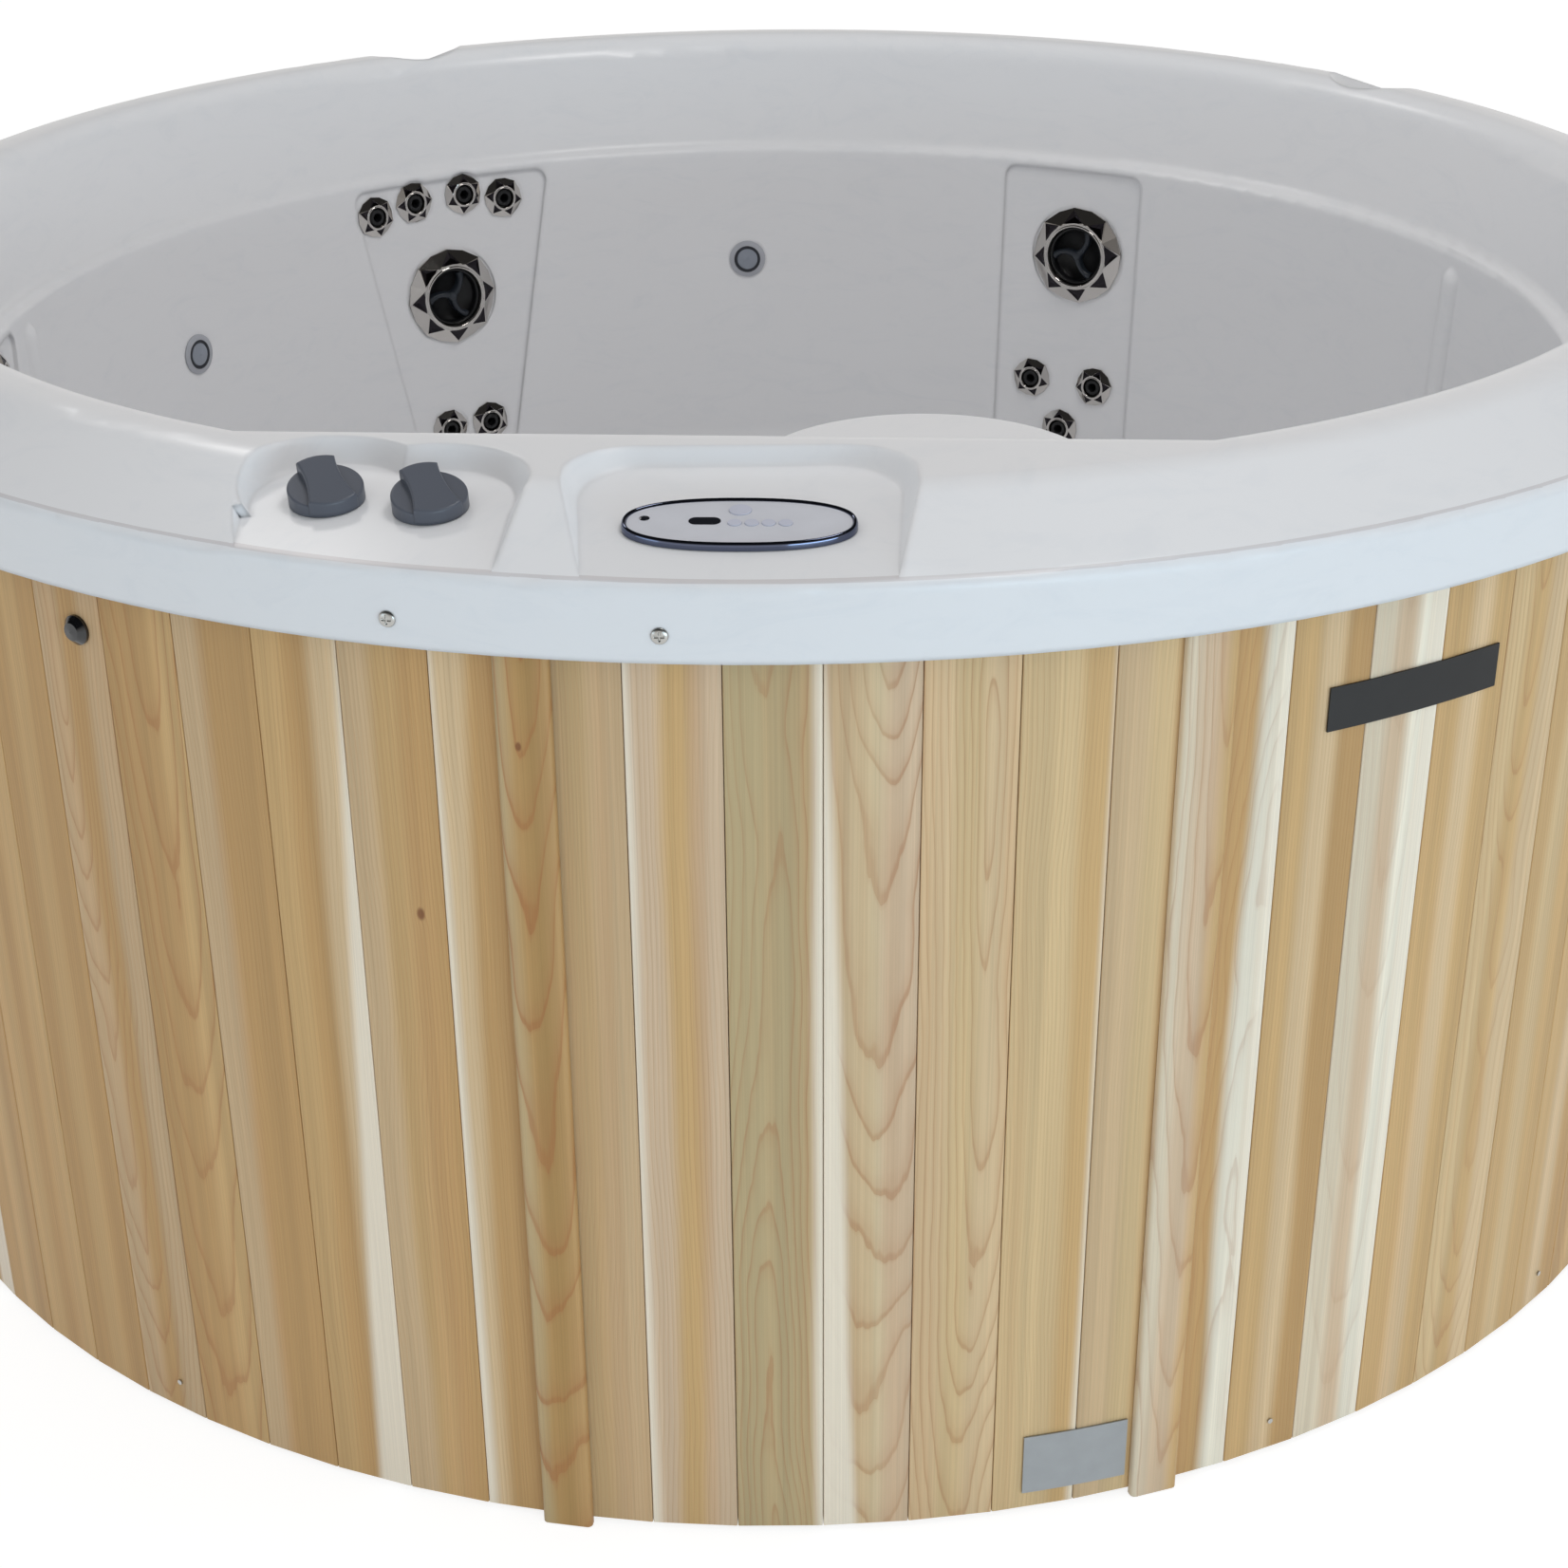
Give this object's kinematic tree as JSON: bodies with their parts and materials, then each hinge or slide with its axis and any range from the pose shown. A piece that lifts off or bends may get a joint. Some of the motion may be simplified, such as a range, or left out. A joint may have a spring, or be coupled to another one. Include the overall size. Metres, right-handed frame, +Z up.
{
  "type": "hot tub",
  "caption": "Round timber-clad hot tub with a moulded acrylic shell, rim control pockets, jets, lights, filter, pump, heater and a removable access door.",
  "frame": {"origin": "centre of the base on the floor", "axes": "+Z up, -Y towards the side with the control pockets and the access door, +X to that side's right as seen from outside"},
  "size_m": [2.134, 2.1338, 0.9724],
  "materials": {
    "shell_acrylic": "polished",
    "white_pipe": "smooth",
    "black_plastic": "satin",
    "chrome_trim": "polished",
    "lens_clear": "polished",
    "keypad_frame": "satin",
    "keypad_film": "satin",
    "display_glass": "polished",
    "cedar": "oiled",
    "frame_timber": "rough sawn",
    "base_plastic": "matt",
    "steel": "satin",
    "gloss_black": "polished",
    "plate_metal": "satin",
    "brass_fitting": "satin",
    "grey_plastic": "satin",
    "filter_fabric": "pleated",
    "motor_paint": "satin",
    "box_plastic": "satin",
    "foil_foam": "foil faced",
    "knob_plastic": "satin",
    "button_plastic": "satin"
  },
  "bodies": {
    "tub": {"acrylic_shell": "shell_acrylic", "base_pan": "base_plastic", "cable_gland": "black_plastic", "control_box": "box_plastic", "diverter_valves": "white_pipe", "drain_valve": "brass_fitting", "fixed_staves": "cedar", "footwell_covers": "grey_plastic", "frame_posts": "frame_timber", "frame_rings": "frame_timber", "heater": "steel", "insulation": "foil_foam", "jet_bodies": "white_pipe", "jet_nuts": "white_pipe", "keypad_bezel": "keypad_frame", "keypad_display": "display_glass", "keypad_housing": "black_plastic", "keypad_overlay": "keypad_film", "light_lenses": "lens_clear", "light_rings": "chrome_trim", "lip_screws": "steel", "nameplate": "plate_metal", "plumbing": "white_pipe", "pump_motor": "motor_paint", "pump_wet_end": "black_plastic", "small_jet_nozzles": "black_plastic", "stave_nails": "steel", "vent_cap": "gloss_black"},
    "jet_bezel_big_left": {"jet_bezel_big_left": "chrome_trim"},
    "jet_rotor_big_left": {"jet_rotor_big_left": "black_plastic"},
    "jet_bezel_small_left_1": {"jet_bezel_small_left_1": "chrome_trim"},
    "jet_bezel_small_left_2": {"jet_bezel_small_left_2": "chrome_trim"},
    "jet_bezel_small_left_3": {"jet_bezel_small_left_3": "chrome_trim"},
    "jet_bezel_small_left_4": {"jet_bezel_small_left_4": "chrome_trim"},
    "jet_bezel_big_rear_left": {"jet_bezel_big_rear_left": "chrome_trim"},
    "jet_rotor_big_rear_left": {"jet_rotor_big_rear_left": "black_plastic"},
    "jet_bezel_small_rear_left_1": {"jet_bezel_small_rear_left_1": "chrome_trim"},
    "jet_bezel_small_rear_left_2": {"jet_bezel_small_rear_left_2": "chrome_trim"},
    "jet_bezel_small_rear_left_3": {"jet_bezel_small_rear_left_3": "chrome_trim"},
    "jet_bezel_small_rear_left_4": {"jet_bezel_small_rear_left_4": "chrome_trim"},
    "jet_bezel_small_rear_left_5": {"jet_bezel_small_rear_left_5": "chrome_trim"},
    "jet_bezel_small_rear_left_6": {"jet_bezel_small_rear_left_6": "chrome_trim"},
    "jet_bezel_big_rear_right": {"jet_bezel_big_rear_right": "chrome_trim"},
    "jet_rotor_big_rear_right": {"jet_rotor_big_rear_right": "black_plastic"},
    "jet_bezel_small_rear_right_1": {"jet_bezel_small_rear_right_1": "chrome_trim"},
    "jet_bezel_small_rear_right_2": {"jet_bezel_small_rear_right_2": "chrome_trim"},
    "jet_bezel_small_rear_right_3": {"jet_bezel_small_rear_right_3": "chrome_trim"},
    "valve_knob_left": {"valve_knob_left": "knob_plastic"},
    "valve_knob_right": {"valve_knob_right": "knob_plastic"},
    "keypad_button_top": {"keypad_button_top": "button_plastic"},
    "keypad_button_row_1": {"keypad_button_row_1": "button_plastic"},
    "keypad_button_row_2": {"keypad_button_row_2": "button_plastic"},
    "keypad_button_row_3": {"keypad_button_row_3": "button_plastic"},
    "keypad_button_row_4": {"keypad_button_row_4": "button_plastic"},
    "access_door": {"door_staves": "cedar", "door_rails": "frame_timber", "door_battens": "cedar", "data_plate": "plate_metal"},
    "filter": {"filter_lid": "grey_plastic", "filter_cartridge": "filter_fabric"}
  },
  "joints": [
    {"name": "jet_bezel_big_left_turn", "type": "hinge", "parent": "tub", "child": "jet_bezel_big_left", "pos_m": [-0.84031, -0.12559, 0.66104], "axis": [0.9881, 0.1477, 0.0437], "range_deg": [0, 90]},
    {"name": "jet_rotor_big_left_spin", "type": "hinge", "parent": "jet_bezel_big_left", "child": "jet_rotor_big_left", "pos_m": [-0.84031, -0.12559, 0.66104], "axis": [0.9881, 0.1477, 0.0437], "continuous": true},
    {"name": "jet_bezel_small_left_1_turn", "type": "hinge", "parent": "tub", "child": "jet_bezel_small_left_1", "pos_m": [-0.82389, -0.22848, 0.783], "axis": [0.9627, 0.267, 0.0437], "range_deg": [0, 90]},
    {"name": "jet_bezel_small_left_2_turn", "type": "hinge", "parent": "tub", "child": "jet_bezel_small_left_2", "pos_m": [-0.83825, -0.17054, 0.79298], "axis": [0.979, 0.1992, 0.0437], "range_deg": [0, 90]},
    {"name": "jet_bezel_small_left_3_turn", "type": "hinge", "parent": "tub", "child": "jet_bezel_small_left_3", "pos_m": [-0.84985, -0.09833, 0.79515], "axis": [0.9924, 0.1148, 0.0437], "range_deg": [0, 90]},
    {"name": "jet_bezel_small_left_4_turn", "type": "hinge", "parent": "tub", "child": "jet_bezel_small_left_4", "pos_m": [-0.85408, -0.04028, 0.78386], "axis": [0.9979, 0.0471, 0.0437], "range_deg": [0, 90]},
    {"name": "jet_bezel_big_rear_left_turn", "type": "hinge", "parent": "tub", "child": "jet_bezel_big_rear_left", "pos_m": [-0.44394, 0.72444, 0.66104], "axis": [0.522, -0.8518, 0.0437], "range_deg": [0, 90]},
    {"name": "jet_rotor_big_rear_left_spin", "type": "hinge", "parent": "jet_bezel_big_rear_left", "child": "jet_rotor_big_rear_left", "pos_m": [-0.44394, 0.72444, 0.66104], "axis": [0.522, -0.8518, 0.0437], "continuous": true},
    {"name": "jet_bezel_small_rear_left_1_turn", "type": "hinge", "parent": "tub", "child": "jet_bezel_small_rear_left_1", "pos_m": [-0.53224, 0.66912, 0.783], "axis": [0.6219, -0.7819, 0.0437], "range_deg": [0, 90]},
    {"name": "jet_bezel_small_rear_left_2_turn", "type": "hinge", "parent": "tub", "child": "jet_bezel_small_rear_left_2", "pos_m": [-0.48452, 0.70498, 0.79298], "axis": [0.5659, -0.8233, 0.0437], "range_deg": [0, 90]},
    {"name": "jet_bezel_small_rear_left_3_turn", "type": "hinge", "parent": "tub", "child": "jet_bezel_small_rear_left_3", "pos_m": [-0.42258, 0.74387, 0.79515], "axis": [0.4935, -0.8687, 0.0437], "range_deg": [0, 90]},
    {"name": "jet_bezel_small_rear_left_4_turn", "type": "hinge", "parent": "tub", "child": "jet_bezel_small_rear_left_4", "pos_m": [-0.37079, 0.77044, 0.78386], "axis": [0.4332, -0.9002, 0.0437], "range_deg": [0, 90]},
    {"name": "jet_bezel_small_rear_left_5_turn", "type": "hinge", "parent": "tub", "child": "jet_bezel_small_rear_left_5", "pos_m": [-0.45592, 0.70744, 0.47789], "axis": [0.5412, -0.8398, 0.0437], "range_deg": [0, 90]},
    {"name": "jet_bezel_small_rear_left_6_turn", "type": "hinge", "parent": "tub", "child": "jet_bezel_small_rear_left_6", "pos_m": [-0.40291, 0.73899, 0.4792], "axis": [0.4782, -0.8771, 0.0437], "range_deg": [0, 90]},
    {"name": "jet_bezel_big_rear_right_turn", "type": "hinge", "parent": "tub", "child": "jet_bezel_big_rear_right", "pos_m": [0.41545, 0.74335, 0.70488], "axis": [-0.4874, -0.8721, 0.0437], "range_deg": [0, 90]},
    {"name": "jet_rotor_big_rear_right_spin", "type": "hinge", "parent": "jet_bezel_big_rear_right", "child": "jet_rotor_big_rear_right", "pos_m": [0.41545, 0.74335, 0.70488], "axis": [-0.4874, -0.8721, 0.0437], "continuous": true},
    {"name": "jet_bezel_small_rear_right_1_turn", "type": "hinge", "parent": "tub", "child": "jet_bezel_small_rear_right_1", "pos_m": [0.36061, 0.76288, 0.5278], "axis": [-0.4269, -0.9032, 0.0437], "range_deg": [0, 90]},
    {"name": "jet_bezel_small_rear_right_2_turn", "type": "hinge", "parent": "tub", "child": "jet_bezel_small_rear_right_2", "pos_m": [0.44338, 0.71789, 0.52694], "axis": [-0.525, -0.85, 0.0437], "range_deg": [0, 90]},
    {"name": "jet_bezel_small_rear_right_3_turn", "type": "hinge", "parent": "tub", "child": "jet_bezel_small_rear_right_3", "pos_m": [0.39995, 0.73969, 0.46097], "axis": [-0.4752, -0.8788, 0.0437], "range_deg": [0, 90]},
    {"name": "valve_knob_left_turn", "type": "hinge", "parent": "tub", "child": "valve_knob_left", "pos_m": [-0.358, -0.903, 0.94227], "axis": [-0.0397, -0.1152, 0.9925], "range_deg": [-70, 110]},
    {"name": "valve_knob_right_turn", "type": "hinge", "parent": "tub", "child": "valve_knob_right", "pos_m": [-0.273, -0.925, 0.94311], "axis": [-0.0397, -0.1152, 0.9925], "range_deg": [-70, 110]},
    {"name": "keypad_button_top_press", "type": "slide", "parent": "tub", "child": "keypad_button_top", "axis": [0.0036, 0.1218, -0.9925], "range_m": [0, 0.0008], "stiffness_N_per_m": 300},
    {"name": "keypad_button_row_1_press", "type": "slide", "parent": "tub", "child": "keypad_button_row_1", "axis": [0.0036, 0.1218, -0.9925], "range_m": [0, 0.0008], "stiffness_N_per_m": 300},
    {"name": "keypad_button_row_2_press", "type": "slide", "parent": "tub", "child": "keypad_button_row_2", "axis": [0.0036, 0.1218, -0.9925], "range_m": [0, 0.0008], "stiffness_N_per_m": 300},
    {"name": "keypad_button_row_3_press", "type": "slide", "parent": "tub", "child": "keypad_button_row_3", "axis": [0.0036, 0.1218, -0.9925], "range_m": [0, 0.0008], "stiffness_N_per_m": 300},
    {"name": "keypad_button_row_4_press", "type": "slide", "parent": "tub", "child": "keypad_button_row_4", "axis": [0.0036, 0.1218, -0.9925], "range_m": [0, 0.0008], "stiffness_N_per_m": 300},
    {"name": "access_door_pull", "type": "slide", "parent": "tub", "child": "access_door", "axis": [0.0705, -0.9975, 0], "range_m": [0, 0.3]},
    {"name": "filter_lift", "type": "slide", "parent": "tub", "child": "filter", "axis": [0, 0, 1], "range_m": [0, 0.45]}
  ]
}
